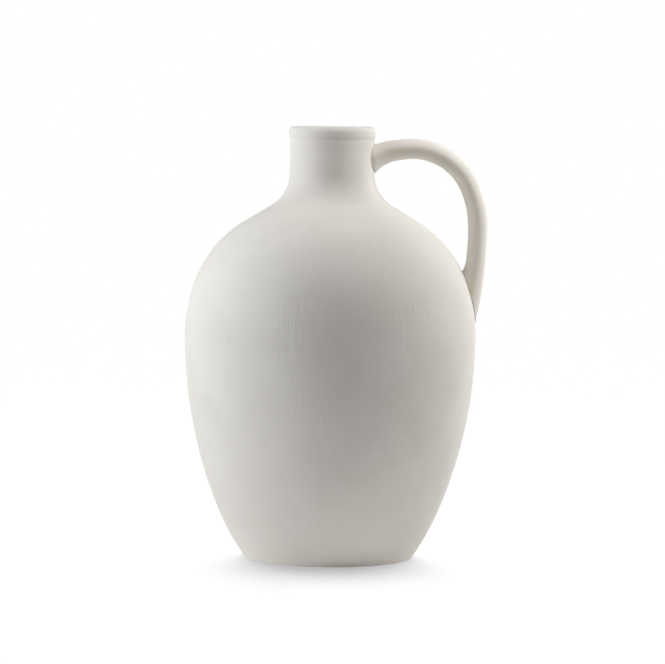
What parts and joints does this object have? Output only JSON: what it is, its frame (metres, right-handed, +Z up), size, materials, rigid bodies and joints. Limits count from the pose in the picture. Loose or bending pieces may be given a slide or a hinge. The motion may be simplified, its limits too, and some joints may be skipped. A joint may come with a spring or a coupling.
{
  "type": "ceramic jug",
  "caption": "Matte off-white ceramic jug with a round belly, sloping shoulder, short neck, banded rim and one looped handle, for water, flowers or display.",
  "frame": {"origin": "centre of the flat foot, on the surface that the jug stands on", "axes": "+Z up along the axis of the jug, +X towards the handle, and the pictured side faces -Y"},
  "size_m": [0.2226, 0.216, 0.32],
  "materials": {
    "clay": "matte, brushed on",
    "slip": "matte",
    "glaze": "gloss"
  },
  "bodies": {
    "root": {"body": "clay", "rim_band": "clay", "handle": "clay", "upper_handle_slip": "slip", "lower_handle_slip": "slip", "inner_glaze": "glaze"}
  },
  "joints": []
}
